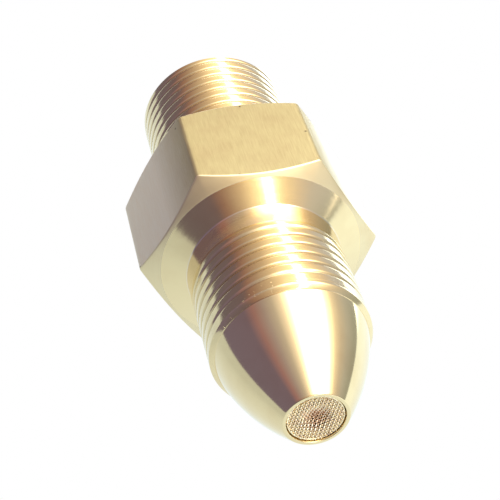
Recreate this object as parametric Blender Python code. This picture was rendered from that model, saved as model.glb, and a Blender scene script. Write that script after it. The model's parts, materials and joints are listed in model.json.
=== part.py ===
"""Oil burner nozzle with a strainer in its bull nose and an anti-drip valve inside.

Every piece is turned about one line, the nozzle's axis. Stations along that axis are millimetres from
the middle of the spanner hexagon, positive towards the nose, and radii are millimetres from the axis.
The nozzle lies on one flat of its hexagon, with the nose pointing along -Y.

Oil enters through the gauze in the nose, lifts the valve off its seat against the spring, passes the
spring guide, the lock screw and the swirl distributor, and leaves as spray through the orifice disc.
"""

import math

import bmesh
import bpy
from mathutils import Matrix, Vector

MM = 0.001
GAP = 0.3
SEGMENTS = 36
SMALL_SEGMENTS = 24
MERGE = 1e-7
SMOOTH_ANGLE = math.radians(40.0)

# Spanner hexagon
HEX_ACROSS_FLATS = 28.0
HEX_HALF_LENGTH = 8.25
HEX_FACE_RADIUS = 13.5
HEX_CHAMFER = math.radians(30.0)

# Overall length
TIP_STATION = 38.4
DISCHARGE_STATION = -26.8

# Both ends carry a G1/2 pipe thread
THREAD_MAJOR = 10.4
THREAD_MINOR = 9.32
THREAD_PITCH = 1.814
CREST_SHARE = 0.14
ROOT_SHARE = 0.18
RUN_OUT_LENGTH = 1.8
RUN_IN_LENGTH = 0.6
NECK_STEP = 0.2

# Front end: the cone off the hexagon's face, the plain neck, the thread and the rim round the nose
NECK_RADIUS = 10.2
NECK_START = 9.75
FRONT_THREAD_START = 13.6
FRONT_THREAD_END = 25.3
FRONT_RIM_STATION = 25.65
FRONT_FACE_STATION = 26.2

# Rear end: a flat shoulder, a plain land, the thread and the rim round the discharge face
REAR_LAND_RADIUS = 10.2
REAR_THREAD_START = -11.6
REAR_THREAD_END = -26.3
REAR_RIM_RADIUS = 9.95

# Bores through the body
NOSE_BORE = 7.6
SEAT_SHOULDER = 12.0
CHAMBER_BORE = 6.0
GUIDE_SHOULDER = -4.0
DISTRIBUTOR_BORE = 5.0
DISC_SHOULDER = -18.6
THROAT_BORE = 3.2
THROAT_END = -20.2
MOUTH_RADIUS = 6.5

# Bull nose
NOSE_BASE_RADIUS = 9.8
NOSE_TIP_RADIUS = 4.1
NOSE_BULGE = 0.78
NOSE_PROFILE_STEPS = 10
NOSE_CHAMBER = 5.2
NOSE_CONE_START = 24.0
NOSE_CONE_END = 33.0
NOSE_INLET = 2.45
GAUZE_RECESS = 3.85
GAUZE_RECESS_FLOOR = 36.0

# Gauze disc and the ring behind it
GAUZE_RADIUS = 3.55
GAUZE_RIM_STATION = 38.25
GAUZE_DISH_RADIUS = 2.3
GAUZE_DISH_DEPTH = 0.9
GAUZE_THICKNESS = 0.35
GAUZE_STEPS = 5
RING_THICKNESS = 1.2

# Valve seat and its washer
SEAT_THICKNESS = 2.7
SEAT_BORE = 2.3
SEAT_COUNTERBORE = 4.0
SEAT_COUNTERBORE_DEPTH = 0.6
SEAT_CHAMFER = 0.5
WASHER_THICKNESS = 1.0
WASHER_BORE = 5.0

# Valve, closed
PILOT_RADIUS = 1.8
PILOT_LENGTH = 3.2
PILOT_CHAMFER = 0.4
SEAL_RADIUS = 2.75
SEAL_WIRE_RADIUS = 0.55
FLANGE_RADIUS = 4.2
FLANGE_THICKNESS = 1.0
STEM_RADIUS = 0.9
STEM_END = -2.0

# Spring and its guide
SPRING_COIL_RADIUS = 3.0
SPRING_WIRE_RADIUS = 0.35
SPRING_TURNS = 7
SPRING_POINTS_PER_TURN = 16
GUIDE_PLATE = 2.0
GUIDE_HUB_RADIUS = 2.0
GUIDE_HUB_TOP = 1.0
GUIDE_HOLES = 6
GUIDE_HOLE_RADIUS = 0.65
GUIDE_HOLE_CIRCLE = 4.2

# Lock screw
SCREW_FRONT = -7.0
SCREW_REAR = -12.0
SCREW_SOCKET_ACROSS_FLATS = 4.0
SCREW_CHAMFER = 0.4

# Swirl distributor and orifice disc
SWIRLER_PLATE_REAR = -14.6
SWIRLER_DISH_RADIUS = 4.3
SWIRLER_DISH_DEPTH = 0.6
SWIRLER_NECK = 3.0
SWIRLER_TIP = 0.8
SWIRLER_HOLES = 4
SWIRLER_HOLE_RADIUS = 0.45
SWIRLER_HOLE_CIRCLE = 3.75
SWIRL_SLOTS = 4
SWIRL_SLOT_SIZE = (0.5, 3.0, 0.9)
SWIRL_SLOT_OFFSET = 0.7
SWIRL_SLOT_REACH = 2.35
SWIRL_SLOT_RISE = 1.2
DISC_CUP_RADIUS = 3.3
DISC_CONE_START = -16.3
DISC_CONE_END = -18.9
DISC_BOSS_RADIUS = 2.8
DISC_BOSS_END = -19.4
ORIFICE_RADIUS = 0.4

# A cutter runs this far past the faces it cuts through
OVERRUN = 1.0

HEX_CENTRE_Y = (TIP_STATION + DISCHARGE_STATION) / 2.0
HEX_CENTRE_Z = HEX_ACROSS_FLATS / 2.0

BRASS = (0.78, 0.57, 0.25)
BRIGHT_BRASS = (0.86, 0.68, 0.36)
BRONZE_WIRE = (0.48, 0.27, 0.13)
COPPER = (0.72, 0.36, 0.22)
STEEL = (0.62, 0.62, 0.64)
SPRING_STEEL = (0.45, 0.45, 0.47)
NITRILE = (0.03, 0.03, 0.03)


def remove_all_objects():
    for obj in list(bpy.data.objects):
        bpy.data.objects.remove(obj, do_unlink=True)


def make_material(name, colour, metallic, roughness):
    material = bpy.data.materials.new(name)
    material.use_nodes = True
    shader = material.node_tree.nodes["Principled BSDF"]
    shader.inputs["Base Color"].default_value = (*colour, 1.0)
    shader.inputs["Metallic"].default_value = metallic
    shader.inputs["Roughness"].default_value = roughness
    return material


def make_axis():
    """An empty in the middle of the hexagon whose +Z runs along the nozzle's axis, out of the nose."""
    axis = bpy.data.objects.new("nozzle_axis", None)
    axis.location = (0.0, HEX_CENTRE_Y * MM, HEX_CENTRE_Z * MM)
    axis.rotation_euler = (math.pi / 2.0, 0.0, 0.0)
    bpy.context.scene.collection.objects.link(axis)
    return axis


def place(name, data, axis, material):
    obj = bpy.data.objects.new(name, data)
    obj.parent = axis
    obj.data.materials.append(material)
    bpy.context.scene.collection.objects.link(obj)
    return obj


def mesh_object(name, bm, axis, material):
    """Turn millimetres into metres, close the seams and hand the mesh to a new object."""
    bmesh.ops.scale(bm, vec=(MM, MM, MM), verts=bm.verts)
    bmesh.ops.remove_doubles(bm, verts=bm.verts, dist=MERGE)
    bmesh.ops.recalc_face_normals(bm, faces=bm.faces)
    mesh = bpy.data.meshes.new(name)
    bm.to_mesh(mesh)
    bm.free()
    mesh.shade_smooth()
    mesh.set_sharp_from_angle(angle=SMOOTH_ANGLE)
    return place(name, mesh, axis, material)


def turn(bm, profile, closed, segments, pitch=0.0):
    """Spin a profile of (radius, station) points once round the axis, rising by pitch as it turns."""
    verts = [bm.verts.new((0.0, radius, station)) for radius, station in profile]
    edges = [bm.edges.new(pair) for pair in zip(verts, verts[1:])]
    if closed:
        edges.append(bm.edges.new((verts[-1], verts[0])))
    before = set(bm.verts) - set(verts)
    bmesh.ops.spin(
        bm,
        geom=verts + edges,
        cent=(0.0, 0.0, 0.0),
        axis=(0.0, 0.0, 1.0),
        dvec=(0.0, 0.0, pitch / segments),
        angle=2.0 * math.pi,
        steps=segments,
    )
    return [vert for vert in bm.verts if vert not in before]


def turned_object(name, profile, axis, material, closed=True, segments=SMALL_SEGMENTS):
    bm = bmesh.new()
    turn(bm, profile, closed, segments)
    return mesh_object(name, bm, axis, material)


def set_radius(vert, radius):
    scale = radius / math.hypot(vert.co.x, vert.co.y)
    vert.co.x *= scale
    vert.co.y *= scale


def thread_profile(start, end):
    """One crest and one root for each pitch, from a turn before the start to a turn past the end."""
    profile = []
    turns = math.ceil((end - start) / THREAD_PITCH) + 2
    root_start = CREST_SHARE + (1.0 - CREST_SHARE - ROOT_SHARE) / 2.0
    corners = [
        (THREAD_MAJOR, 0.0),
        (THREAD_MAJOR, CREST_SHARE),
        (THREAD_MINOR, root_start),
        (THREAD_MINOR, root_start + ROOT_SHARE),
    ]
    for index in range(turns):
        for radius, share in corners:
            profile.append((radius, start + (index - 1 + share) * THREAD_PITCH))
    return profile


def add_thread(bm, start, end, start_fade, end_fade):
    """A right-hand thread between two stations. At each end the groove fades out over a length, so that
    the thread closes there in a plain ring of its major radius."""
    depth = THREAD_MAJOR - THREAD_MINOR
    for vert in turn(bm, thread_profile(start, end), False, SEGMENTS, THREAD_PITCH):
        vert.co.z = min(max(vert.co.z, start), end)
        share = min((vert.co.z - start) / start_fade, (end - vert.co.z) / end_fade, 1.0)
        floor = THREAD_MAJOR - depth * share
        set_radius(vert, max(math.hypot(vert.co.x, vert.co.y), floor))


def hex_radius(vert):
    """Distance from the axis to the hexagon's side in the direction of this vertex."""
    side = math.radians(60.0)
    angle = math.atan2(vert.co.x, vert.co.y)
    from_flat = (angle + side / 2.0) % side - side / 2.0
    return HEX_ACROSS_FLATS / 2.0 / math.cos(from_flat)


def add_hexagon(bm):
    """The hexagon's flats, and the 30 degree chamfer cones that cut its corners at both ends."""
    flat = HEX_ACROSS_FLATS / 2.0
    profile = [
        (HEX_FACE_RADIUS, HEX_HALF_LENGTH),
        (flat, HEX_HALF_LENGTH / 2.0),
        (flat, -HEX_HALF_LENGTH / 2.0),
        (HEX_FACE_RADIUS, -HEX_HALF_LENGTH),
    ]
    for vert in turn(bm, profile, False, SEGMENTS):
        if abs(vert.co.z) > HEX_HALF_LENGTH - MERGE:
            continue
        radius = hex_radius(vert)
        set_radius(vert, radius)
        station = HEX_HALF_LENGTH - (radius - HEX_FACE_RADIUS) * math.tan(HEX_CHAMFER)
        vert.co.z = math.copysign(station, vert.co.z)


def build_body(axis, material):
    """Hexagon, threads, necks and bores, which meet ring to ring and close into one solid."""
    bm = bmesh.new()
    add_hexagon(bm)
    add_thread(bm, REAR_THREAD_END, REAR_THREAD_START, RUN_IN_LENGTH, RUN_OUT_LENGTH)
    add_thread(bm, FRONT_THREAD_START, FRONT_THREAD_END, RUN_OUT_LENGTH, RUN_IN_LENGTH)
    front_neck = [
        (HEX_FACE_RADIUS, HEX_HALF_LENGTH),
        (NECK_RADIUS, NECK_START),
        (NECK_RADIUS, FRONT_THREAD_START - NECK_STEP),
        (THREAD_MAJOR, FRONT_THREAD_START),
    ]
    rear_neck = [
        (THREAD_MAJOR, REAR_THREAD_START),
        (REAR_LAND_RADIUS, REAR_THREAD_START + NECK_STEP),
        (REAR_LAND_RADIUS, -HEX_HALF_LENGTH),
        (HEX_FACE_RADIUS, -HEX_HALF_LENGTH),
    ]
    rim_and_bores = [
        (THREAD_MAJOR, FRONT_THREAD_END),
        (THREAD_MAJOR, FRONT_RIM_STATION),
        (NOSE_BASE_RADIUS, FRONT_FACE_STATION),
        (NOSE_BORE, FRONT_FACE_STATION),
        (NOSE_BORE, SEAT_SHOULDER),
        (CHAMBER_BORE, SEAT_SHOULDER),
        (CHAMBER_BORE, GUIDE_SHOULDER),
        (DISTRIBUTOR_BORE, GUIDE_SHOULDER),
        (DISTRIBUTOR_BORE, DISC_SHOULDER),
        (THROAT_BORE, DISC_SHOULDER),
        (THROAT_BORE, THROAT_END),
        (MOUTH_RADIUS, DISCHARGE_STATION),
        (REAR_RIM_RADIUS, DISCHARGE_STATION),
        (THREAD_MAJOR, REAR_THREAD_END),
    ]
    for profile in (front_neck, rear_neck, rim_and_bores):
        turn(bm, profile, False, SEGMENTS)
    return mesh_object("body", bm, axis, material)


def nose_outline():
    """The bull nose from base to tip: a straight taper swollen by a parabola."""
    base = FRONT_FACE_STATION + GAP
    points = []
    for step in range(NOSE_PROFILE_STEPS + 1):
        share = step / NOSE_PROFILE_STEPS
        radius = NOSE_BASE_RADIUS + (NOSE_TIP_RADIUS - NOSE_BASE_RADIUS) * share
        radius += NOSE_BULGE * 4.0 * share * (1.0 - share)
        points.append((radius, base + (TIP_STATION - base) * share))
    return points


def seat_front():
    return SEAT_SHOULDER + GAP + SEAT_THICKNESS


def washer_front():
    return seat_front() + GAP + WASHER_THICKNESS


def build_nose(axis, material):
    spigot_end = washer_front() + GAP
    profile = nose_outline() + [
        (GAUZE_RECESS, TIP_STATION),
        (GAUZE_RECESS, GAUZE_RECESS_FLOOR),
        (NOSE_INLET, GAUZE_RECESS_FLOOR),
        (NOSE_INLET, NOSE_CONE_END),
        (NOSE_CHAMBER, NOSE_CONE_START),
        (NOSE_CHAMBER, spigot_end),
        (NOSE_BORE - GAP, spigot_end),
        (NOSE_BORE - GAP, FRONT_FACE_STATION + GAP),
    ]
    return turned_object("bull_nose", profile, axis, material, segments=SEGMENTS)


def build_gauze(axis, material):
    """A thin round plate of gauze with a flat rim, dished in the middle."""
    front = []
    for step in range(GAUZE_STEPS + 1):
        share = step / GAUZE_STEPS
        depth = GAUZE_DISH_DEPTH * (1.0 + math.cos(math.pi * share)) / 2.0
        front.append((GAUZE_DISH_RADIUS * share, GAUZE_RIM_STATION - depth))
    front.append((GAUZE_RADIUS, GAUZE_RIM_STATION))
    back = [(radius, station - GAUZE_THICKNESS) for radius, station in reversed(front)]
    return turned_object("inlet_gauze", front + back, axis, material, closed=False)


def ring_profile(inner, outer, rear, front):
    return [(inner, rear), (outer, rear), (outer, front), (inner, front)]


def build_gauze_ring(axis, material):
    rear = GAUZE_RECESS_FLOOR + GAP
    profile = ring_profile(NOSE_INLET, GAUZE_RADIUS, rear, rear + RING_THICKNESS)
    return turned_object("gauze_ring", profile, axis, material)


def build_washer(axis, material):
    profile = ring_profile(WASHER_BORE, NOSE_BORE - GAP, seat_front() + GAP, washer_front())
    return turned_object("seat_washer", profile, axis, material)


def build_seat(axis, material):
    rear = SEAT_SHOULDER + GAP
    profile = [
        (SEAT_COUNTERBORE, rear),
        (NOSE_BORE - GAP, rear),
        (NOSE_BORE - GAP, seat_front()),
        (SEAT_BORE + SEAT_CHAMFER, seat_front()),
        (SEAT_BORE, seat_front() - SEAT_CHAMFER),
        (SEAT_BORE, rear + SEAT_COUNTERBORE_DEPTH),
        (SEAT_COUNTERBORE, rear + SEAT_COUNTERBORE_DEPTH),
    ]
    return turned_object("valve_seat", profile, axis, material)


def seal_station():
    """The middle of the seal, which just clears its face on the seat while the valve is closed."""
    return SEAT_SHOULDER + GAP + SEAT_COUNTERBORE_DEPTH - GAP - SEAL_WIRE_RADIUS


def flange_front():
    return seal_station() - SEAL_WIRE_RADIUS - GAP


def build_poppet(axis, material):
    front = flange_front()
    profile = [
        (0.0, front + PILOT_LENGTH),
        (PILOT_RADIUS - PILOT_CHAMFER, front + PILOT_LENGTH),
        (PILOT_RADIUS, front + PILOT_LENGTH - PILOT_CHAMFER),
        (PILOT_RADIUS, front),
        (FLANGE_RADIUS, front),
        (FLANGE_RADIUS, front - FLANGE_THICKNESS),
        (STEM_RADIUS, front - FLANGE_THICKNESS),
        (STEM_RADIUS, STEM_END),
        (0.0, STEM_END),
    ]
    return turned_object("valve_poppet", profile, axis, material, closed=False)


def circle_profile(centre, station, radius, points):
    profile = []
    for index in range(points):
        angle = 2.0 * math.pi * index / points
        profile.append((centre + radius * math.cos(angle), station + radius * math.sin(angle)))
    return profile


def build_seal(axis, material):
    profile = circle_profile(SEAL_RADIUS, seal_station(), SEAL_WIRE_RADIUS, 8)
    return turned_object("valve_seal", profile, axis, material)


def build_spring(axis, material):
    """A round wire wound evenly from the guide's plate to the valve's flange."""
    rear = GUIDE_SHOULDER + GAP + GUIDE_PLATE + GAP + SPRING_WIRE_RADIUS
    front = flange_front() - FLANGE_THICKNESS - GAP - SPRING_WIRE_RADIUS
    curve = bpy.data.curves.new("valve_spring", "CURVE")
    curve.dimensions = "3D"
    curve.bevel_depth = SPRING_WIRE_RADIUS * MM
    curve.bevel_resolution = 1
    curve.use_fill_caps = True
    count = SPRING_TURNS * SPRING_POINTS_PER_TURN
    spline = curve.splines.new("POLY")
    spline.points.add(count)
    for index, point in enumerate(spline.points):
        angle = 2.0 * math.pi * index / SPRING_POINTS_PER_TURN
        station = rear + (front - rear) * index / count
        across = SPRING_COIL_RADIUS * math.cos(angle)
        up = SPRING_COIL_RADIUS * math.sin(angle)
        point.co = (across * MM, up * MM, station * MM, 1.0)
    return place("valve_spring", curve, axis, material)


def cutter_object(name, bm, axis):
    """A solid that cuts its neighbour and is not part of the nozzle."""
    bmesh.ops.scale(bm, vec=(MM, MM, MM), verts=bm.verts)
    bmesh.ops.recalc_face_normals(bm, faces=bm.faces)
    mesh = bpy.data.meshes.new(name)
    bm.to_mesh(mesh)
    bm.free()
    cutter = bpy.data.objects.new(name, mesh)
    cutter.parent = axis
    cutter.hide_render = True
    cutter.display_type = "WIRE"
    bpy.context.scene.collection.objects.link(cutter)
    return cutter


def cut(target, cutter):
    modifier = target.modifiers.new(cutter.name, "BOOLEAN")
    modifier.operation = "DIFFERENCE"
    modifier.solver = "EXACT"
    modifier.object = cutter


def hole_cutters(name, axis, count, circle, radius, rear, front):
    """Round holes along the axis, evenly spaced on a circle."""
    bm = bmesh.new()
    for index in range(count):
        angle = 2.0 * math.pi * index / count
        made = bmesh.ops.create_cone(
            bm, cap_ends=True, segments=12, radius1=radius, radius2=radius, depth=front - rear
        )
        shift = Vector((circle * math.sin(angle), circle * math.cos(angle), (front + rear) / 2.0))
        bmesh.ops.translate(bm, vec=shift, verts=made["verts"])
    return cutter_object(name, bm, axis)


def build_guide(axis, material):
    rear = GUIDE_SHOULDER + GAP
    plate_front = rear + GUIDE_PLATE
    profile = [
        (STEM_RADIUS + GAP, rear),
        (CHAMBER_BORE - GAP, rear),
        (CHAMBER_BORE - GAP, plate_front),
        (GUIDE_HUB_RADIUS, plate_front),
        (GUIDE_HUB_RADIUS, GUIDE_HUB_TOP),
        (STEM_RADIUS + GAP, GUIDE_HUB_TOP),
    ]
    guide = turned_object("spring_guide", profile, axis, material)
    cutter = hole_cutters("guide_holes", axis, GUIDE_HOLES, GUIDE_HOLE_CIRCLE, GUIDE_HOLE_RADIUS,
                          rear - OVERRUN, plate_front + OVERRUN)
    cut(guide, cutter)
    return guide


def build_lock_screw(axis, material):
    """A threaded slug with a hexagon socket right through it, which is also the way for the oil."""
    outer = DISTRIBUTOR_BORE - GAP
    profile = [
        (0.0, SCREW_REAR),
        (outer - SCREW_CHAMFER, SCREW_REAR),
        (outer, SCREW_REAR + SCREW_CHAMFER),
        (outer, SCREW_FRONT - SCREW_CHAMFER),
        (outer - SCREW_CHAMFER, SCREW_FRONT),
        (0.0, SCREW_FRONT),
    ]
    screw = turned_object("lock_screw", profile, axis, material, closed=False)
    corner = SCREW_SOCKET_ACROSS_FLATS / math.sqrt(3.0)
    depth = SCREW_FRONT - SCREW_REAR + 2.0 * OVERRUN
    bm = bmesh.new()
    made = bmesh.ops.create_cone(
        bm, cap_ends=True, segments=6, radius1=corner, radius2=corner, depth=depth
    )
    bmesh.ops.translate(bm, vec=(0.0, 0.0, (SCREW_FRONT + SCREW_REAR) / 2.0), verts=made["verts"])
    cut(screw, cutter_object("screw_socket", bm, axis))
    return screw


def swirl_slot_cutter(axis):
    """Narrow slots across the cone, set off from the axis so that the oil enters with a swirl."""
    bm = bmesh.new()
    tip = swirler_tip_station()
    for index in range(SWIRL_SLOTS):
        made = bmesh.ops.create_cube(bm, size=1.0)
        bmesh.ops.scale(bm, vec=SWIRL_SLOT_SIZE, verts=made["verts"])
        shift = (SWIRL_SLOT_OFFSET, SWIRL_SLOT_REACH, tip + SWIRL_SLOT_RISE)
        bmesh.ops.translate(bm, vec=shift, verts=made["verts"])
        turn_by = Matrix.Rotation(2.0 * math.pi * index / SWIRL_SLOTS, 3, "Z")
        bmesh.ops.rotate(bm, cent=(0.0, 0.0, 0.0), matrix=turn_by, verts=made["verts"])
    return cutter_object("swirl_slots", bm, axis)


def swirler_tip_station():
    """The distributor's cone runs parallel to the disc's, one gap away from it."""
    cone_gap = GAP * math.sqrt(2.0)
    return DISC_CONE_START - DISC_CUP_RADIUS + SWIRLER_TIP + cone_gap


def build_swirler(axis, material):
    front = SCREW_REAR - GAP
    tip = swirler_tip_station()
    profile = [
        (0.0, front - SWIRLER_DISH_DEPTH),
        (SWIRLER_DISH_RADIUS - SWIRLER_DISH_DEPTH, front - SWIRLER_DISH_DEPTH),
        (SWIRLER_DISH_RADIUS, front),
        (DISTRIBUTOR_BORE - GAP, front),
        (DISTRIBUTOR_BORE - GAP, SWIRLER_PLATE_REAR),
        (SWIRLER_NECK, SWIRLER_PLATE_REAR),
        (SWIRLER_NECK, tip + SWIRLER_NECK - SWIRLER_TIP),
        (SWIRLER_TIP, tip),
        (0.0, tip),
    ]
    swirler = turned_object("swirl_distributor", profile, axis, material, closed=False)
    cut(swirler, hole_cutters("swirler_holes", axis, SWIRLER_HOLES, SWIRLER_HOLE_CIRCLE,
                              SWIRLER_HOLE_RADIUS, SWIRLER_PLATE_REAR - GAP / 2.0, front + OVERRUN))
    cut(swirler, swirl_slot_cutter(axis))
    return swirler


def build_disc(axis, material):
    """A cup whose hollow cone ends in the spray orifice."""
    front = SWIRLER_PLATE_REAR - GAP
    outer = DISTRIBUTOR_BORE - GAP
    cone_end = DISC_CUP_RADIUS + DISC_CONE_END - DISC_CONE_START
    profile = [
        (DISC_CUP_RADIUS, front),
        (DISC_CUP_RADIUS, DISC_CONE_START),
        (cone_end, DISC_CONE_END),
        (ORIFICE_RADIUS, DISC_CONE_END),
        (ORIFICE_RADIUS, DISC_BOSS_END),
        (DISC_BOSS_RADIUS, DISC_BOSS_END),
        (DISC_BOSS_RADIUS, DISC_SHOULDER + GAP),
        (outer, DISC_SHOULDER + GAP),
        (outer, front),
    ]
    return turned_object("orifice_disc", profile, axis, material)


def main():
    remove_all_objects()
    axis = make_axis()
    build_body(axis, make_material("body_brass", BRASS, 1.0, 0.25))
    build_nose(axis, make_material("nose_brass", BRIGHT_BRASS, 1.0, 0.18))
    build_gauze(axis, make_material("gauze_bronze", BRONZE_WIRE, 1.0, 0.5))
    build_gauze_ring(axis, make_material("ring_brass", BRASS, 1.0, 0.35))
    build_washer(axis, make_material("washer_copper", COPPER, 1.0, 0.4))
    build_seat(axis, make_material("seat_brass", BRIGHT_BRASS, 1.0, 0.25))
    build_poppet(axis, make_material("poppet_brass", BRIGHT_BRASS, 1.0, 0.25))
    build_seal(axis, make_material("seal_nitrile", NITRILE, 0.0, 0.5))
    build_spring(axis, make_material("spring_steel", SPRING_STEEL, 1.0, 0.35))
    build_guide(axis, make_material("guide_brass", BRASS, 1.0, 0.35))
    build_lock_screw(axis, make_material("screw_brass", BRASS, 1.0, 0.35))
    build_swirler(axis, make_material("swirler_steel", STEEL, 1.0, 0.3))
    build_disc(axis, make_material("disc_steel", STEEL, 1.0, 0.25))


main()
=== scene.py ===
"""The looks of the oil burner nozzle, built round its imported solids.

Shapes are given as the solids' source gives them: stations are millimetres along the nozzle's axis from
the middle of the spanner hexagon, positive towards the nose, and radii are millimetres from the axis.
point() places them in the frame, where the nose points along -Y and +Z is up.
"""

import json
import math

import bmesh
import bpy
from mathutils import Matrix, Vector


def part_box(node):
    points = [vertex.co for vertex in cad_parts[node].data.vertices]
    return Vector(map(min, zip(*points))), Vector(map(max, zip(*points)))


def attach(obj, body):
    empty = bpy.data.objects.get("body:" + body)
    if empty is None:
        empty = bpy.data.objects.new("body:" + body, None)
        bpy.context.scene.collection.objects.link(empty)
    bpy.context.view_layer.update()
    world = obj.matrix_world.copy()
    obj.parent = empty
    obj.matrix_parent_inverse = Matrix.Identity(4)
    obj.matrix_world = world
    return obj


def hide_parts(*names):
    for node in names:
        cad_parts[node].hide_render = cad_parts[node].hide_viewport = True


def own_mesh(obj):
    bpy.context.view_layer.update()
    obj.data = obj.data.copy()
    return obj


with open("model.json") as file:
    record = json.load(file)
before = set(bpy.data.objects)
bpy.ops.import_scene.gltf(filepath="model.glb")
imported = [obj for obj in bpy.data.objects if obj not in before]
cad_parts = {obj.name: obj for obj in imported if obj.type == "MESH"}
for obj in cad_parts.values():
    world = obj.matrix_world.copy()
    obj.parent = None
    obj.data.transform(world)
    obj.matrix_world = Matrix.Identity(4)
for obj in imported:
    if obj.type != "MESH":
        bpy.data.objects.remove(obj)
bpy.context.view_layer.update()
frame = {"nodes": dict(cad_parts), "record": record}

MM = 0.001
MERGE = 2e-7
SHARP_ANGLE = math.radians(38.0)
FILLET_REACH = 0.45  # greatest share of a side that a fillet takes


def mount(name):
    """Where the record puts one of its mounts."""
    return Vector(next(m["pos_m"] for m in frame["record"]["mounts"] if m["name"] == name))


TOP_FLAT = mount("hexagon_top_flat")
CENTRE = Vector((0.0, TOP_FLAT.y, TOP_FLAT.z / 2.0))


def stations(node):
    """The rearmost and foremost station of a CAD node, and its greatest radius."""
    low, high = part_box(node)
    rear, front = (CENTRE.y - high.y) / MM, (CENTRE.y - low.y) / MM
    return rear, front, (high.x - low.x) / 2.0 / MM


# Spanner hexagon
FLAT = CENTRE.z / MM
HEX_HALF_LENGTH = 8.25
HEX_FACE_RADIUS = 13.5
HEX_CHAMFER = math.radians(30.0)
HEX_EDGE = 0.22
HEX_SIDE = math.radians(60.0)
CHAMFER_LEAN = 0.3  # share of a face's normal along the axis, above which it is a chamfer

# Both threads: G1/2 in size and pitch, but shallower
THREAD_MAJOR = 10.4
THREAD_DEPTH = 0.36
THREAD_PITCH = 1.814
THREAD_END_RAMP = 0.35
GROOVE_SHARE = 0.34
GROOVE_POINTS = 10
CREST_PHASES = (0.0, 0.11, 0.22)
CREST_CROWN = 0.01

# Body, from the discharge face to the rim round the nose
DISCHARGE, FRONT_FACE, _ = stations("body")
REAR_RIM = 9.95
REAR_THREAD = (-26.3, -11.6)
REAR_FADE = (0.6, 1.8)
REAR_LAND = 10.2
FRONT_THREAD = (13.6, 25.3)
FRONT_FADE = (1.8, 3.0)
NECK = 10.35
NECK_START = 10.0
FRONT_RIM = 25.65
EDGE_BREAK = 0.12
REAR_NECK_FILLET = 0.18
TURNED_SLOT, DRAWN_SLOT, FACED_SLOT = range(3)

# Gap between pieces that touch on the real nozzle
GAP = 0.3

# Bores
NOSE_BORE = 7.6
SEAT_SHOULDER = 12.0
CHAMBER_BORE = 6.0
GUIDE_SHOULDER = -4.0
DISTRIBUTOR_BORE = 5.0
DISC_SHOULDER = -18.6
THROAT_BORE = 3.2
THROAT_END = -20.2
MOUTH = 6.5

# Bull nose
NOSE_SPIGOT, TIP, NOSE_BASE = stations("bull_nose")
NOSE_SEAM = 0.03
NOSE_TIP = 4.1
NOSE_BULGE = 0.78
NOSE_STEPS = 48
NOSE_SEGMENTS = 240
NOSE_CHAMBER = 5.2
NOSE_CONE_START = 24.0
NOSE_CONE_END = 33.0
NOSE_INLET = 2.45
GAUZE_RECESS = 3.66
GAUZE_RECESS_FLOOR = 36.0

# Gauze
_, GAUZE_FRONT, GAUZE_RADIUS = stations("inlet_gauze")
WIRE_RADIUS = 0.095
WIRE_PITCH = 0.34
WIRE_SIDES = 6
WIRE_STEPS = 4
WEAVE_TURN = math.radians(28.0)
DISH_RADIUS = 2.3
DISH_DEPTH = 0.8
GAUZE_RIM_WIRE = 0.1
GAUZE_RIM_SIDES = 10
GAUZE_RIM_SEGMENTS = 96

# Inner pieces
RING_EDGE_BREAK = 0.1
RING_SEGMENTS = 144
SEAL_SIDES = 20
SEAL_SEGMENTS = 120
WASHER_BORE = 5.0
SEAT_BORE = 2.3
SEAT_COUNTERBORE = 4.0
SEAT_COUNTERBORE_DEPTH = 0.6
SEAT_CHAMFER = 0.5
PILOT_RADIUS = 1.8
PILOT_LENGTH = 3.2
PILOT_CHAMFER = 0.4
FLANGE_THICKNESS = 1.0
STEM_RADIUS = 0.9
SPRING_WIRE = 0.35
SPRING_TURNS = 7
SPRING_STEPS = 40
SPRING_SIDES = 12
DISC_CUP = 3.3
DISC_CONE = (-16.3, -18.9)
DISC_BOSS = 2.8
ORIFICE = 0.4

# Angles round the axis: even steps, with closer ones at the hexagon's corners
STEP = math.radians(2.0)
CORNER_STEPS = [math.radians(a) for a in (-0.9, -0.5, 0.5, 0.9)]
CORNER_BLEND = math.radians(1.1)


def point(radius, station, angle):
    """A point in the frame. Angle 0 is straight up, and it grows towards -X, as a right-hand thread
    turns when it is followed towards the nose."""
    return CENTRE + Vector((-radius * math.sin(angle), -station, radius * math.cos(angle))) * MM


def round_angles():
    """Angles for the body, closer together at the hexagon's corners."""
    count = round(2.0 * math.pi / STEP)
    angles = [index * STEP for index in range(count + 1)]
    for side in range(6):
        corner = HEX_SIDE * (side + 0.5)
        angles += [corner + offset for offset in CORNER_STEPS]
    return sorted(angles)


def even_angles(count):
    return [2.0 * math.pi * index / count for index in range(count + 1)]


def fillet(profile, radius, steps=3, closed=False):
    """Round the corners of a profile of (radius, station) points."""
    points = [Vector(p) for p in profile]
    count = len(points)
    rounded = []
    for index, corner in enumerate(points):
        if not closed and index in (0, count - 1):
            rounded.append(corner)
            continue
        before, after = points[index - 1], points[(index + 1) % count]
        into, out = (before - corner), (after - corner)
        reach = min(radius, FILLET_REACH * into.length, FILLET_REACH * out.length)
        start, end = corner + into.normalized() * reach, corner + out.normalized() * reach
        for step in range(steps + 1):
            share = step / steps
            rounded.append(start.lerp(corner, share).lerp(corner.lerp(end, share), share))
    return [tuple(p) for p in rounded]


def add_turned(bm, profile, angles, closed=False, slot=TURNED_SLOT):
    """Turn a profile round the axis. A profile is a list, or a function from the angle to one."""
    columns = []
    for angle in angles:
        points = profile(angle) if callable(profile) else profile
        columns.append([bm.verts.new(point(radius, station, angle)) for radius, station in points])
    rows = len(columns[0])
    for left, right in zip(columns, columns[1:]):
        for row in range(rows if closed else rows - 1):
            after = (row + 1) % rows
            face = bm.faces.new((left[row], left[after], right[after], right[row]))
            face.material_index = slot
            face.smooth = True


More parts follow.
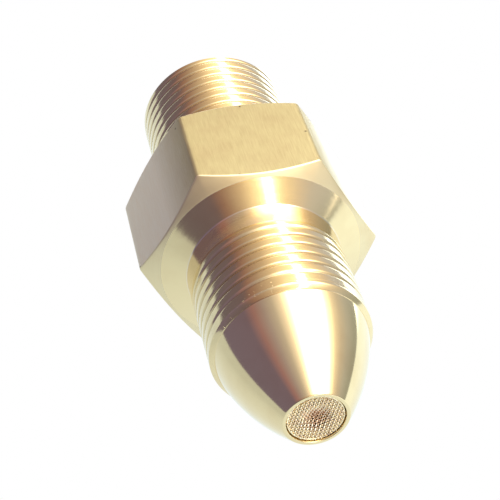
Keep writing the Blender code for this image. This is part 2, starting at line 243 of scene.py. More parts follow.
def add_tube(bm, rings):
    """Join rings of vertices into a closed round wire."""
    for near, far in zip(rings, rings[1:]):
        count = len(near)
        for side in range(count):
            after = (side + 1) % count
            face = bm.faces.new((near[side], near[after], far[after], far[side]))
            face.smooth = True
    bm.faces.new(rings[0])
    bm.faces.new(rings[-1])


def finish_mesh(name, bm, materials):
    """Close the seams of a mesh, face it outwards and hand it to a new object."""
    bmesh.ops.remove_doubles(bm, verts=bm.verts, dist=MERGE)
    bmesh.ops.dissolve_degenerate(bm, edges=bm.edges, dist=MERGE)
    bmesh.ops.recalc_face_normals(bm, faces=bm.faces)
    mesh = bpy.data.meshes.new(name)
    bm.to_mesh(mesh)
    bm.free()
    mesh.set_sharp_from_angle(angle=SHARP_ANGLE)
    for material in materials:
        mesh.materials.append(material)
    piece = bpy.data.objects.new(name, mesh)
    bpy.context.scene.collection.objects.link(piece)
    return piece


def groove(phase):
    """Depth of the thread at a share of its pitch: broad crowned crests and narrow rounded grooves."""
    from_root = abs(phase % 1.0 - 0.5)
    crown = CREST_CROWN * (1.0 - 2.0 * from_root) ** 2
    reach = min(from_root / (GROOVE_SHARE / 2.0), 1.0)
    return crown + (THREAD_DEPTH - CREST_CROWN) * (0.5 + 0.5 * math.cos(math.pi * reach))


def thread_phases():
    """Shares of the pitch at which the thread's profile has points: a few on the crest and more in the
    groove."""
    groove_start = (1.0 - GROOVE_SHARE) / 2.0
    phases = list(CREST_PHASES)
    phases += [groove_start + GROOVE_SHARE * index / GROOVE_POINTS for index in range(GROOVE_POINTS + 1)]
    return phases + [1.0 - phase for phase in reversed(CREST_PHASES[1:])]


def thread_column(span, fade):
    """A function from the angle to the thread's profile, between two stations and fading at both."""
    start, end = span
    turns = math.ceil((end - start) / THREAD_PITCH) + 2
    rounds = [turn + phase for turn in range(turns) for phase in thread_phases()]

    def column(angle):
        shift = THREAD_PITCH * angle / (2.0 * math.pi)
        points = []
        for phase in rounds:
            station = start + (phase - 1.0) * THREAD_PITCH + shift
            station = min(max(station, start), end)
            share = min((station - start) / fade[0], (end - station) / fade[1], 1.0)
            points.append((THREAD_MAJOR - groove(phase) * max(share, 0.0), station))
        return points

    return column


def hexagon_side(angle):
    """Radius of the hexagon's side at an angle, with its corners slightly rounded."""
    from_flat = (angle + HEX_SIDE / 2.0) % HEX_SIDE - HEX_SIDE / 2.0
    from_corner = HEX_SIDE / 2.0 - abs(from_flat)
    blend = max(0.0, 1.0 - from_corner / CORNER_BLEND)
    return FLAT / math.cos(from_flat) - 0.5 * HEX_EDGE * blend ** 2


def hexagon_column(angle):
    """The hexagon from its front face to its rear face, with the 30 degree chamfers at its corners."""
    side = hexagon_side(angle)
    edge = HEX_HALF_LENGTH - (side - HEX_FACE_RADIUS) * math.tan(HEX_CHAMFER)
    half = [(HEX_FACE_RADIUS, HEX_HALF_LENGTH), (side, edge), (side, 0.0)]
    half = fillet(half, HEX_EDGE, steps=4)
    return half + [(radius, -station) for radius, station in reversed(half[:-1])]


def build_body(turned, drawn, faced):
    """The body in one mesh: turned metal but for the hexagon, which has drawn flats and faced chamfers."""
    bm = bmesh.new()
    angles = round_angles()
    add_turned(bm, thread_column(REAR_THREAD, REAR_FADE), angles)
    add_turned(bm, thread_column(FRONT_THREAD, FRONT_FADE), angles)
    add_turned(bm, hexagon_column, angles, slot=DRAWN_SLOT)
    bm.normal_update()
    for face in bm.faces:
        if face.material_index == DRAWN_SLOT and abs(face.normal.y) > CHAMFER_LEAN:
            face.material_index = FACED_SLOT
    front_neck = fillet([
        (HEX_FACE_RADIUS, HEX_HALF_LENGTH),
        (NECK, NECK_START),
        (NECK, FRONT_THREAD[0] - THREAD_END_RAMP),
        (THREAD_MAJOR, FRONT_THREAD[0]),
    ], EDGE_BREAK)
    rear_neck = fillet([
        (THREAD_MAJOR, REAR_THREAD[1]),
        (REAR_LAND, REAR_THREAD[1] + THREAD_END_RAMP),
        (REAR_LAND, -HEX_HALF_LENGTH),
        (HEX_FACE_RADIUS, -HEX_HALF_LENGTH),
    ], REAR_NECK_FILLET)
    bores = fillet([
        (THREAD_MAJOR, FRONT_THREAD[1]),
        (THREAD_MAJOR, FRONT_RIM),
        (NOSE_BASE, FRONT_FACE),
        (NOSE_BORE, FRONT_FACE),
        (NOSE_BORE, SEAT_SHOULDER),
        (CHAMBER_BORE, SEAT_SHOULDER),
        (CHAMBER_BORE, GUIDE_SHOULDER),
        (DISTRIBUTOR_BORE, GUIDE_SHOULDER),
        (DISTRIBUTOR_BORE, DISC_SHOULDER),
        (THROAT_BORE, DISC_SHOULDER),
        (THROAT_BORE, THROAT_END),
        (MOUTH, DISCHARGE),
        (REAR_RIM, DISCHARGE),
        (THREAD_MAJOR, REAR_THREAD[0]),
    ], EDGE_BREAK)
    for profile in (front_neck, rear_neck, bores):
        add_turned(bm, profile, angles)
    return finish_mesh("body_shell", bm, [turned, drawn, faced])


def nose_outline():
    """The bull nose from base to tip: a straight taper swollen by a parabola."""
    base = FRONT_FACE + NOSE_SEAM
    points = []
    for step in range(NOSE_STEPS + 1):
        share = step / NOSE_STEPS
        radius = NOSE_BASE + (NOSE_TIP - NOSE_BASE) * share + NOSE_BULGE * 4.0 * share * (1.0 - share)
        points.append((radius, base + (TIP - base) * share))
    return points


def build_nose(material):
    """The nose in one closed profile: outside from base to tip, then inside back to the base."""
    bm = bmesh.new()
    spigot = NOSE_BORE - GAP
    inside = fillet([
        nose_outline()[-2],
        (NOSE_TIP, TIP),
        (GAUZE_RECESS, TIP),
        (GAUZE_RECESS, GAUZE_RECESS_FLOOR),
        (NOSE_INLET, GAUZE_RECESS_FLOOR),
        (NOSE_INLET, NOSE_CONE_END),
        (NOSE_CHAMBER, NOSE_CONE_START),
        (NOSE_CHAMBER, NOSE_SPIGOT),
        (spigot, NOSE_SPIGOT),
        (spigot, FRONT_FACE + NOSE_SEAM),
        (NOSE_BASE, FRONT_FACE + NOSE_SEAM),
    ], EDGE_BREAK, steps=4)
    add_turned(bm, nose_outline()[:-1] + inside[1:-1], even_angles(NOSE_SEGMENTS), closed=True)
    return finish_mesh("nose_shell", bm, [material])


def dish(across, up):
    """How far the gauze is pressed in at a point on it."""
    share = min(math.hypot(across, up) / DISH_RADIUS, 1.0)
    return DISH_DEPTH * (1.0 + math.cos(math.pi * share)) / 2.0


def add_wire(bm, offset, parity, runs_across):
    """One wire of the gauze, waving over and under the wires that cross it."""
    half = math.sqrt(GAUZE_RADIUS ** 2 - offset ** 2)
    count = math.floor(half / WIRE_PITCH) * WIRE_STEPS
    rings = []
    for index in range(-count, count + 1):
        along = index * WIRE_PITCH / WIRE_STEPS
        wave = WIRE_RADIUS * parity * math.cos(math.pi * along / WIRE_PITCH)
        across, up = (along, offset) if runs_across else (offset, along)
        station = GAUZE_FRONT - 2.0 * WIRE_RADIUS - dish(across, up) + wave
        ring = []
        for side in range(WIRE_SIDES):
            turn = 2.0 * math.pi * side / WIRE_SIDES
            sideways, out = WIRE_RADIUS * math.cos(turn), WIRE_RADIUS * math.sin(turn)
            place = (across, up + sideways) if runs_across else (across + sideways, up)
            ring.append(bm.verts.new(weave_point(*place, station + out)))
        rings.append(ring)
    add_tube(bm, rings)


def weave_point(across, up, station):
    """A point of the gauze in the frame, with the weave turned round the axis."""
    angle = math.atan2(-across, up) + WEAVE_TURN
    return point(math.hypot(across, up), station, angle)


def build_gauze(material):
    """A plain weave of round wires, pressed into a dish."""
    bm = bmesh.new()
    count = math.floor((GAUZE_RADIUS - WIRE_PITCH / 2.0) / WIRE_PITCH)
    for index in range(-count, count + 1):
        parity = 1.0 if index % 2 == 0 else -1.0
        add_wire(bm, index * WIRE_PITCH, parity, runs_across=True)
        add_wire(bm, index * WIRE_PITCH, -parity, runs_across=False)
    rim_radius, rim_station = GAUZE_RADIUS - GAUZE_RIM_WIRE, GAUZE_FRONT - 2.0 * GAUZE_RIM_WIRE
    rim = circle(rim_radius, rim_station, GAUZE_RIM_WIRE, GAUZE_RIM_SIDES)
    add_turned(bm, rim, even_angles(GAUZE_RIM_SEGMENTS), closed=True)
    return finish_mesh("gauze_weave", bm, [material])


def circle(radius, station, wire, count):
    """A round wire's section, for a ring turned round the axis."""
    turns = [2.0 * math.pi * index / count for index in range(count)]
    return [(radius + wire * math.cos(turn), station + wire * math.sin(turn)) for turn in turns]


def build_ring(name, profile, material, closed=True):
    """A small turned piece with its edges broken. An open profile starts and ends on the axis."""
    bm = bmesh.new()
    outline = fillet(profile, RING_EDGE_BREAK, closed=closed)
    add_turned(bm, outline, even_angles(RING_SEGMENTS), closed=closed)
    return finish_mesh(name, bm, [material])


def build_gauze_ring(material):
    rear, front, outer = stations("gauze_ring")
    corners = [(NOSE_INLET, rear), (outer, rear), (outer, front), (NOSE_INLET, front)]
    return build_ring("gauze_ring_turned", corners, material)


def build_washer(material):
    rear, front, outer = stations("seat_washer")
    corners = [(WASHER_BORE, rear), (outer, rear), (outer, front), (WASHER_BORE, front)]
    return build_ring("seat_washer_turned", corners, material)


def build_seat(material):
    rear, front, outer = stations("valve_seat")
    corners = [
        (SEAT_COUNTERBORE, rear),
        (outer, rear),
        (outer, front),
        (SEAT_BORE + SEAT_CHAMFER, front),
        (SEAT_BORE, front - SEAT_CHAMFER),
        (SEAT_BORE, rear + SEAT_COUNTERBORE_DEPTH),
        (SEAT_COUNTERBORE, rear + SEAT_COUNTERBORE_DEPTH),
    ]
    return build_ring("valve_seat_turned", corners, material)


def build_poppet(material):
    rear, front, flange = stations("valve_poppet")
    shoulder = front - PILOT_LENGTH
    corners = [
        (0.0, front),
        (PILOT_RADIUS - PILOT_CHAMFER, front),
        (PILOT_RADIUS, front - PILOT_CHAMFER),
        (PILOT_RADIUS, shoulder),
        (flange, shoulder),
        (flange, shoulder - FLANGE_THICKNESS),
        (STEM_RADIUS, shoulder - FLANGE_THICKNESS),
        (STEM_RADIUS, rear),
        (0.0, rear),
    ]
    return build_ring("valve_poppet_turned", corners, material, closed=False)


def build_seal(material):
    rear, front, outer = stations("valve_seal")
    wire = (front - rear) / 2.0
    bm = bmesh.new()
    section = circle(outer - wire, (front + rear) / 2.0, wire, SEAL_SIDES)
    add_turned(bm, section, even_angles(SEAL_SEGMENTS), closed=True)
    return finish_mesh("valve_seal_moulded", bm, [material])


def build_disc(material):
    rear, front, outer = stations("orifice_disc")
    cone_end = DISC_CUP + DISC_CONE[1] - DISC_CONE[0]
    corners = [
        (DISC_CUP, front),
        (DISC_CUP, DISC_CONE[0]),
        (cone_end, DISC_CONE[1]),
        (ORIFICE, DISC_CONE[1]),
        (ORIFICE, rear),
        (DISC_BOSS, rear),
        (DISC_BOSS, DISC_SHOULDER + GAP),
        (outer, DISC_SHOULDER + GAP),
        (outer, front),
    ]
    return build_ring("orifice_disc_turned", corners, material)


def build_spring(material):
    """A round wire wound evenly between the ends of the CAD spring."""
    rear, front, outer = stations("valve_spring")
    coil = outer - SPRING_WIRE
    first, last = rear + SPRING_WIRE, front - SPRING_WIRE
    count = SPRING_TURNS * SPRING_STEPS
    bm = bmesh.new()
    rings = []
    for index in range(count + 1):
        angle = -2.0 * math.pi * index / SPRING_STEPS
        station = first + (last - first) * index / count
        section = circle(coil, station, SPRING_WIRE, SPRING_SIDES)
        rings.append([bm.verts.new(point(radius, place, angle)) for radius, place in section])
    add_tube(bm, rings)
    return finish_mesh("valve_spring_wound", bm, [material])


# Depths in millimetres of grain, lines, pits and nicks, and how far the drawn lines are stretched
METAL_GRAIN = 0.006
RUBBER_GRAIN = 0.01
LINE_DEPTH = 0.006
LINES_ACROSS = 6.0
LINES_ALONG = 0.35
PIT_SCALE = 0.28
PIT_DEPTH = -0.05
PIT_SHADE = 0.45
NICK_DEPTH = -0.04

# Where the wear, the painted shade in the threads and the painted light on the flats lie: radii, widths of
# the masks' edges, stations, and places along X
BORES_WITHIN = THREAD_MAJOR - 0.9
MASK_EDGE = 0.1
NECK_EDGE = 0.3
GROOVE_SHADE_TOP = 0.06
NICKED_LAND = (24.1, 24.7)
PAINTED_REFLECTION_SIDE = (-12.0, -7.6)
PAINTED_HIGHLIGHT_SIDE = (9.0, 12.5)

# Colours, with the darker one that each is stained to; the bronze's darker one is also painted shade in the
# dish
BRASS = (0.86, 0.70, 0.40)
FACED_BRASS = (0.82, 0.69, 0.42)
INNER_BRASS = (0.80, 0.62, 0.32)
BRASS_STAINED = (0.70, 0.50, 0.26)
DRAWN_BRASS, DRAWN_BRASS_STAINED = (0.47, 0.39, 0.205), (0.40, 0.30, 0.155)
BRONZE, BRONZE_BROWNED_AND_SHADED = (1.0, 0.88, 0.62), (0.76, 0.48, 0.34)
COPPER, COPPER_STAINED = (0.82, 0.44, 0.30), (0.55, 0.27, 0.18)
SPRING_STEEL, SPRING_STEEL_STAINED = (0.52, 0.52, 0.55), (0.36, 0.35, 0.36)
STAINLESS, STAINLESS_STAINED = (0.66, 0.66, 0.68), (0.54, 0.53, 0.53)
NITRILE, NITRILE_DARK = (0.030, 0.030, 0.032), (0.016, 0.016, 0.017)
# Painted shade for the thread grooves, also the brown of the nicks on the front land
GROOVE_SHADE_AND_NICK_BROWN = (0.42, 0.28, 0.16)
GROOVE_ROUGHNESS = 0.25
BURNISHED = (0.88, 0.74, 0.52)
# Painted pale reflection on the flats on the -X side
PAINTED_REFLECTION = (0.95, 0.86, 0.70)
# Painted highlight on the flats on the +X side
PAINTED_HIGHLIGHT = (0.88, 0.86, 0.78)


class Shader:
    """A material's nodes, added and linked by short calls."""

    def __init__(self, name):
        self.material = bpy.data.materials.new(name)
        self.material.use_nodes = True
        self.tree = self.material.node_tree
        self.principled = self.tree.nodes["Principled BSDF"]

    def add(self, kind, inputs=None, **settings):
        node = self.tree.nodes.new(kind)
        for key, value in settings.items():
            setattr(node, key, value)
        for key, value in (inputs or {}).items():
            if isinstance(value, bpy.types.NodeSocket):
                self.tree.links.new(value, node.inputs[key])
            else:
                node.inputs[key].default_value = value
        return node

    def math(self, operation, first, second=0.0):
        return self.add("ShaderNodeMath", {0: first, 1: second}, operation=operation).outputs[0]

    def set(self, **values):
        for key, value in values.items():
            socket = self.principled.inputs[key.replace("_", " ")]
            if isinstance(value, bpy.types.NodeSocket):
                self.tree.links.new(value, socket)
            else:
                socket.default_value = value

    def millimetres(self):
        """Object coordinates about the nozzle's axis: side, along and up, in millimetres."""
        place = self.add("ShaderNodeTexCoord").outputs["Object"]
        moved = self.add("ShaderNodeVectorMath", {0: place, 1: CENTRE}, operation="SUBTRACT")
        scaled = self.add("ShaderNodeVectorMath", {0: moved.outputs[0], "Scale": 1.0 / MM}, operation="SCALE")
        return scaled.outputs[0]

    def split(self, vector):
        return self.add("ShaderNodeSeparateXYZ", {0: vector}).outputs

    def radius(self, side, up):
        """Distance from the nozzle's axis."""
        squares = [self.math("MULTIPLY", part, part) for part in (side, up)]
        return self.math("SQRT", self.math("ADD", *squares))

    def join(self, x, y, z=0.0):
        return self.add("ShaderNodeCombineXYZ", {0: x, 1: y, 2: z}).outputs[0]

    def noise(self, vector, scale, detail=2.0, roughness=0.5):
        inputs = {"Vector": vector, "Scale": scale, "Detail": detail, "Roughness": roughness}
        return self.add("ShaderNodeTexNoise", inputs).outputs["Fac"]

    def ramp(self, factor, low, high, start=0.0, end=1.0):
        """Map a factor to a value between low and high."""
        inputs = {"Value": factor, "From Min": start, "From Max": end, "To Min": low, "To Max": high}
        return self.add("ShaderNodeMapRange", inputs).outputs["Result"]

    def blend(self, factor, first, second):
        """Mix two colours."""
        mix = self.add("ShaderNodeMix", data_type="RGBA")
        colours = [socket for socket in mix.inputs if socket.type == "RGBA"]
        self.tree.links.new(factor, mix.inputs[0])
        for socket, colour in zip(colours, (first, second)):
            if isinstance(colour, bpy.types.NodeSocket):
                self.tree.links.new(colour, socket)
            else:
                socket.default_value = (*colour, 1.0)
        return next(socket for socket in mix.outputs if socket.type == "RGBA")

    def bump(self, height, distance, strength=1.0, normal=None):
        inputs = {"Height": height, "Distance": distance * MM, "Strength": strength}
        if normal:
            inputs["Normal"] = normal
        return self.add("ShaderNodeBump", inputs).outputs["Normal"]


def turned_metal(name, colour, dark, roughness, grooves=0.004, stain=0.35, threaded=False):
    """Metal off a lathe: fine rings round the axis, faint stains and, if it is threaded, a thread's wear and
    painted shade in its grooves.
    """
    shader = Shader(name)
    place = shader.millimetres()
    side, along, up = shader.split(place)
    radius = shader.radius(side, up)
    turned = shader.join(radius, along)
    rings = shader.noise(turned, scale=9.0, detail=3.0, roughness=0.7)
    coarse = shader.noise(turned, scale=1.6, detail=2.0, roughness=0.6)
    cloud = shader.noise(place, scale=0.16, detail=3.0, roughness=0.6)
    shade = shader.ramp(cloud, low=0.0, high=stain, start=0.45, end=0.75)
    base = shader.blend(shade, colour, dark)
    shine = shader.ramp(rings, low=roughness * 0.8, high=roughness * 1.25, start=0.3, end=0.7)
    normal = shader.bump(coarse, grooves * 2.0, normal=shader.bump(rings, grooves))
    if threaded:
        base, shine, normal = wear_and_groove_shade(shader, place, radius, along, base, shine, normal)
    shader.set(Base_Color=base, Metallic=1.0, Roughness=shine, Normal=normal)
    return shader.material


def wear_and_groove_shade(shader, place, radius, along, base, shine, normal):
    """Painted shade down in the threads, a burnished front neck and nicks on the front thread's last land.
    Stations grow towards -Y, so each one is the negative of its place along."""
    outside = shader.ramp(radius, low=0.0, high=1.0, start=BORES_WITHIN, end=BORES_WITHIN + MASK_EDGE)
    # Painted shade: the grooves below the crests darkened to brown and made rougher
    down = shader.ramp(radius, low=1.0, high=0.0, start=THREAD_MAJOR - THREAD_DEPTH,
                       end=THREAD_MAJOR - GROOVE_SHADE_TOP)
    rim = -FRONT_THREAD[1]
    behind_rim = shader.ramp(along, low=0.0, high=1.0, start=rim - MASK_EDGE, end=rim)
    groove_shade = shader.math("MULTIPLY", shader.math("MULTIPLY", down, behind_rim), outside)
    base = shader.blend(groove_shade, base, GROOVE_SHADE_AND_NICK_BROWN)
    shine = shader.math("ADD", shine, shader.math("MULTIPLY", groove_shade, GROOVE_ROUGHNESS))

    thread, cone = -FRONT_THREAD[0], -NECK_START
    behind_thread = shader.ramp(along, low=0.0, high=1.0, start=thread, end=thread + NECK_EDGE)
    ahead_of_cone = shader.ramp(along, low=1.0, high=0.0, start=cone, end=cone + MASK_EDGE)
    base = shader.blend(shader.math("MULTIPLY", behind_thread, ahead_of_cone), base, BURNISHED)

    grit = shader.noise(place, scale=2.4, detail=5.0, roughness=0.8)
    specks = shader.ramp(grit, low=0.0, high=1.0, start=0.65, end=0.72)
    land = shader.ramp(along, low=1.0, high=0.0, start=-NICKED_LAND[1], end=-NICKED_LAND[0])
    nicks = shader.math("MULTIPLY", specks, shader.math("MULTIPLY", land, outside))
    return shader.blend(nicks, base, GROOVE_SHADE_AND_NICK_BROWN), shine, shader.bump(nicks, NICK_DEPTH, normal=normal)


def drawn_metal(name, colour, dark, roughness):
    """The hexagon bar's drawn skin: fine lines along the axis, small pits, darker stains, a painted pale
    reflection on the flats on the -X side and a painted highlight on those on the +X side."""
    shader = Shader(name)
    place = shader.millimetres()
    side, along, up = shader.split(place)
    fine_side, fine_up = [shader.math("MULTIPLY", part, LINES_ACROSS) for part in (side, up)]
    stretched = shader.join(fine_side, shader.math("MULTIPLY", along, LINES_ALONG), fine_up)
    lines = shader.noise(stretched, scale=1.0, detail=4.0, roughness=0.65)
    cloud = shader.noise(place, scale=0.22, detail=4.0, roughness=0.6)
    pit_cells = shader.add("ShaderNodeTexVoronoi", {"Vector": place, "Scale": PIT_SCALE})
    pits = shader.ramp(pit_cells.outputs["Distance"], low=1.0, high=0.0, start=0.02, end=0.06)
    stain = shader.ramp(cloud, low=0.0, high=0.5, start=0.45, end=0.8)
    base = shader.blend(stain, colour, dark)
    # Painted light: a pale reflection on the -X flats and a highlight on the +X flats
    painted_reflection = shader.ramp(side, low=0.8, high=0.0, start=PAINTED_REFLECTION_SIDE[0], end=PAINTED_REFLECTION_SIDE[1])
    base = shader.blend(painted_reflection, base, PAINTED_REFLECTION)
    painted_highlight = shader.ramp(side, low=0.0, high=0.8, start=PAINTED_HIGHLIGHT_SIDE[0], end=PAINTED_HIGHLIGHT_SIDE[1])
    base = shader.blend(painted_highlight, base, PAINTED_HIGHLIGHT)
    shader.set(
        Base_Color=shader.blend(pits, base, tuple(PIT_SHADE * channel for channel in dark)),
        Metallic=1.0,
        Roughness=shader.ramp(lines, low=roughness * 0.8, high=roughness * 1.3, start=0.3, end=0.7),
        Normal=shader.bump(pits, PIT_DEPTH, normal=shader.bump(lines, LINE_DEPTH)),
    )
    return shader.material


def wire_metal(name, colour, dark, roughness):
    """Woven bronze, browned unevenly by heat and oil, with painted shade darkest down in the dish."""
    shader = Shader(name)
    place = shader.millimetres()
    side, _, up = shader.split(place)
    # Painted shade, darkest in the middle of the dish
    dish_shade = shader.ramp(shader.radius(side, up), low=0.55, high=-0.1, start=0.3, end=2.0)
    cloud = shader.noise(place, scale=1.3, detail=4.0, roughness=0.7)
    in_cloud = shader.ramp(cloud, low=0.0, high=0.5, start=0.4, end=0.7)
    browned_and_shaded = shader.ramp(shader.math("ADD", dish_shade, in_cloud), low=0.0, high=1.0)
    shader.set(Base_Color=shader.blend(browned_and_shaded, colour, dark), Metallic=1.0, Roughness=roughness)
    return shader.material


def plain_metal(name, colour, dark, roughness, scale):
    """Ground, tumbled or drawn metal: an uneven shade and roughness, and a faint grain."""
    shader = Shader(name)
    place = shader.millimetres()
    cloud = shader.noise(place, scale=0.5, detail=4.0, roughness=0.6)
    grain = shader.noise(place, scale=scale, detail=3.0, roughness=0.7)
    shade = shader.ramp(cloud, low=0.0, high=1.0, start=0.4, end=0.75)
    shader.set(
        Base_Color=shader.blend(shade, colour, dark),
        Metallic=1.0,
        Roughness=shader.ramp(grain, low=roughness * 0.8, high=roughness * 1.3, start=0.3, end=0.7),
        Normal=shader.bump(grain, METAL_GRAIN),
    )
    return shader.material


def moulded_rubber(name, colour, dark):
    """Black rubber with a fine moulded grain."""
    shader = Shader(name)
    grain = shader.noise(shader.millimetres(), scale=6.0, detail=3.0, roughness=0.6)
    shade = shader.ramp(grain, low=0.0, high=1.0, start=0.35, end=0.7)
    shader.set(
        Base_Color=shader.blend(shade, colour, dark),
        Roughness=shader.ramp(grain, low=0.42, high=0.6, start=0.3, end=0.7),
        Normal=shader.bump(grain, RUBBER_GRAIN),
    )
    return shader.material


body_brass = turned_metal("body_brass", BRASS, BRASS_STAINED, roughness=0.13, threaded=True)
flat_brass = drawn_metal("flat_brass", DRAWN_BRASS, DRAWN_BRASS_STAINED, roughness=0.56)
face_brass = turned_metal("face_brass", FACED_BRASS, BRASS_STAINED, roughness=0.4)
nose_brass = turned_metal("nose_brass", BRASS, BRASS_STAINED, roughness=0.1, grooves=0.002)
bronze = wire_metal("bronze_wire", BRONZE, BRONZE_BROWNED_AND_SHADED, roughness=0.26)
inner_brass = turned_metal("inner_brass", INNER_BRASS, BRASS_STAINED, roughness=0.28)
copper = plain_metal("washer_copper", COPPER, COPPER_STAINED, roughness=0.42, scale=5.0)
spring_steel = plain_metal("spring_steel", SPRING_STEEL, SPRING_STEEL_STAINED, roughness=0.3, scale=8.0)
stainless = plain_metal("ground_stainless", STAINLESS, STAINLESS_STAINED, roughness=0.24, scale=9.0)
nitrile = moulded_rubber("moulded_nitrile", NITRILE, NITRILE_DARK)

body_shell = build_body(body_brass, flat_brass, face_brass)
nose_shell = build_nose(nose_brass)
gauze_weave = build_gauze(bronze)
valve_spring = build_spring(spring_steel)
for piece, node, slot, carrier in (
    (body_shell, "body", "body_brass", "housing"),
    (nose_shell, "bull_nose", "nose_brass", "housing"),
    (gauze_weave, "inlet_gauze", "gauze_bronze", "housing"),
    (build_gauze_ring(inner_brass), "gauze_ring", "inner_brass", "housing"),
    (build_washer(copper), "seat_washer", "copper", "housing"),
    (build_seat(inner_brass), "valve_seat", "inner_brass", "housing"),
    (build_poppet(inner_brass), "valve_poppet", "inner_brass", "valve"),
    (build_seal(nitrile), "valve_seal", "nitrile", "valve"),
    (valve_spring, "valve_spring", "spring_steel", "housing"),
    (build_disc(stainless), "orifice_disc", "stainless", "housing"),
):
    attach(piece, carrier)
    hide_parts(node)

for node, slot, material in (
    ("spring_guide", "inner_brass", inner_brass),
    ("lock_screw", "inner_brass", inner_brass),
    ("swirl_distributor", "stainless", stainless),
):
    carried = frame["nodes"][node]
    carried.data.materials.clear()
    carried.data.materials.append(material)

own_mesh(valve_spring)


# Studio: the room's colours by direction round the nozzle's axis, in degrees from straight up towards +X.
# SIDE_ROOM holds for directions square to the axis and END_ROOM for those along it, either way.
ROOM_MIX = (0.45, 0.7)  # share of a direction along the axis: all SIDE_ROOM below, all END_ROOM above
DIM = (0.30, 0.30, 0.34)
END_ROOM = [
    (-180.0, DIM),
    (-95.0, (0.17, 0.15, 0.22)),
    (-56.0, (0.18, 0.14, 0.20)),
    (-43.0, (0.34, 0.20, 0.19)),
    (-30.0, (0.46, 0.34, 0.30)),
    (-14.0, (0.70, 0.56, 0.46)),
    (-2.0, (1.02, 0.84, 0.66)),
    (8.0, (1.30, 1.16, 0.88)),
    (23.5, (1.60, 1.50, 1.12)),
    (27.0, (6.50, 6.50, 6.50)),
    (32.0, (6.50, 6.50, 6.50)),
    (36.0, (1.55, 1.46, 1.10)),
    (50.0, (1.15, 0.98, 0.76)),
    (62.0, (0.88, 0.76, 0.70)),
    (76.0, (0.66, 0.66, 0.76)),
    (96.0, (0.60, 0.64, 0.76)),
    (180.0, DIM),
]
SIDE_ROOM = [
    (-180.0, DIM),
    (-97.0, (0.20, 0.17, 0.30)),
    (-58.0, (0.20, 0.16, 0.28)),
    (-46.0, (0.38, 0.22, 0.28)),
    (-33.0, (0.42, 0.36, 0.44)),
    (-20.0, (0.60, 0.56, 0.58)),
    (-9.0, (1.15, 1.05, 1.00)),
    (-3.0, (2.10, 1.95, 1.70)),
    (4.0, (3.40, 3.40, 3.40)),
    (43.0, (3.40, 3.40, 3.40)),
    (50.0, (2.10, 1.95, 1.65)),
    (58.0, (1.05, 0.95, 0.85)),
    (67.0, (0.72, 0.67, 0.66)),
    (79.0, (0.55, 0.57, 0.62)),
    (93.0, (0.42, 0.46, 0.48)),
    (180.0, DIM),
]

# Sheets, in metres. The paper's levels are an axis, two places on it and the strengths there: the first
# is added to the product of the other two.
FLOOR_HEIGHT = -0.0004
FLOOR_REACH = 30.0
PAPER_HEIGHT = -0.0002
PAPER_CORNERS = (-0.11, -0.15), (0.13, 0.5)
PAPER_COLOUR = (0.86, 0.97, 1.05)
PAPER_RIGHT = ("X", -0.05, 0.04, 0.76, 1.36)
PAPER_FAR_RIGHT = ("X", -0.01, 0.05, 0.1, 1.8)
PAPER_BACK = ("Y", 0.015, 0.05, 0.0, 1.0)
CARD_CORNERS = (0.02, -0.7), (0.3, -0.15)
CARD_COLOUR = (1.0, 1.0, 0.98)
CARD_STRENGTH = 2.2
WHITE = (1.0, 1.0, 1.0)

# Camera: millimetres for the sensor and the lens, metres for distances and degrees for angles
SENSOR_WIDTH = 36.0
LENS = 104.9
CLIP_START = 0.01
CAMERA_AZIMUTH = -11.59
CAMERA_ELEVATION = 37.92
CAMERA_DISTANCE = 0.1992
CAMERA_TURN = (50.99, 0.32, -11.89)


def build_world():
    """A world of two rooms, mixed by how far a direction lies along the nozzle's axis."""
    world = bpy.data.worlds.new("studio")
    bpy.context.scene.world = world
    world.use_nodes = True
    tree = world.node_tree
    background = tree.nodes["Background"]
    direction = tree.nodes.new("ShaderNodeTexCoord").outputs["Generated"]
    split = tree.nodes.new("ShaderNodeSeparateXYZ")
    tree.links.new(direction, split.inputs[0])
    turn = tree.nodes.new("ShaderNodeMath")
    turn.operation = "ARCTAN2"
    tree.links.new(split.outputs["X"], turn.inputs[0])
    tree.links.new(split.outputs["Z"], turn.inputs[1])
    share = tree.nodes.new("ShaderNodeMapRange")
    share.inputs["From Min"].default_value = -math.pi
    share.inputs["From Max"].default_value = math.pi
    tree.links.new(turn.outputs[0], share.inputs["Value"])
    rooms = [room_colours(tree, share.outputs["Result"], room) for room in (SIDE_ROOM, END_ROOM)]
    along = tree.nodes.new("ShaderNodeMath")
    along.operation = "ABSOLUTE"
    tree.links.new(split.outputs["Y"], along.inputs[0])
    depth = tree.nodes.new("ShaderNodeMapRange")
    depth.inputs["From Min"].default_value, depth.inputs["From Max"].default_value = ROOM_MIX
    tree.links.new(along.outputs[0], depth.inputs["Value"])
    mix = tree.nodes.new("ShaderNodeMix")
    mix.data_type = "RGBA"
    tree.links.new(depth.outputs["Result"], mix.inputs[0])
    colours = [socket for socket in mix.inputs if socket.type == "RGBA"]
    for socket, colour in zip(colours, rooms):
        tree.links.new(colour, socket)
    mixed = next(socket for socket in mix.outputs if socket.type == "RGBA")
    tree.links.new(mixed, background.inputs["Color"])
    background.inputs["Strength"].default_value = 1.0


def room_colours(tree, share, room):
    """A ramp of a room's colours by share of the way round. Places are set before colours, because the
    ramp sorts its stops by place."""
    ramp = tree.nodes.new("ShaderNodeValToRGB")
    tree.links.new(share, ramp.inputs["Fac"])
    stops = ramp.color_ramp.elements
    while len(stops) < len(room):
        stops.new(0.5)
    for stop, (degrees, _) in zip(stops, room):
        stop.position = (degrees + 180.0) / 360.0
    for stop, (_, colour) in zip(stops, room):
        stop.color = (*colour, 1.0)
    return ramp.outputs["Color"]


